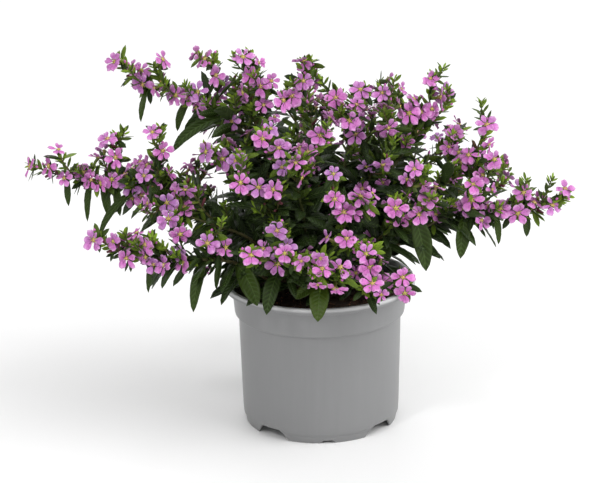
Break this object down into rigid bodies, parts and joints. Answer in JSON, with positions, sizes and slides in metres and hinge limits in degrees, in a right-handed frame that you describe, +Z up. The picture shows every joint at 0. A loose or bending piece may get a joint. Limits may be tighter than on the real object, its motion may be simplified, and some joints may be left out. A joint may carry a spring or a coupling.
{
  "type": "potted flowering plant",
  "caption": "Bushy cigar plant with slender spreading sprays of small star-like flowers and narrow hanging leaves, in a round tapered nursery pot.",
  "frame": {"origin": "on the pot's axis, at the level of the surface that the pot stands on", "axes": "+Z up, +X to the right of the plant as it is looked at, -Y towards the onlooker"},
  "size_m": [0.3696, 0.2351, 0.2598],
  "materials": {
    "pot": "smooth satin grey polypropylene",
    "soil": "dark crumbly potting soil",
    "foliage": "satin green leaf",
    "stem": "green to brown bark",
    "petal": "soft lilac-pink petal with darker veins"
  },
  "bodies": {
    "root": {"pot": "pot", "soil": "soil", "shoot_01": "foliage", "shoot_02": "foliage", "shoot_03": "foliage", "shoot_04": "foliage", "shoot_05": "foliage", "shoot_06": "foliage", "shoot_07": "foliage", "shoot_08": "foliage", "shoot_09": "foliage", "shoot_10": "foliage", "shoot_11": "foliage", "shoot_12": "foliage", "shoot_13": "foliage", "shoot_14": "foliage", "shoot_15": "foliage", "shoot_16": "foliage", "shoot_17": "foliage", "shoot_18": "foliage", "shoot_19": "foliage", "shoot_20": "foliage", "shoot_21": "foliage", "shoot_22": "foliage", "shoot_23": "foliage", "shoot_24": "foliage", "shoot_25": "foliage", "shoot_26": "foliage", "shoot_27": "foliage", "shoot_28": "foliage", "shoot_29": "foliage", "shoot_30": "foliage"}
  },
  "joints": []
}
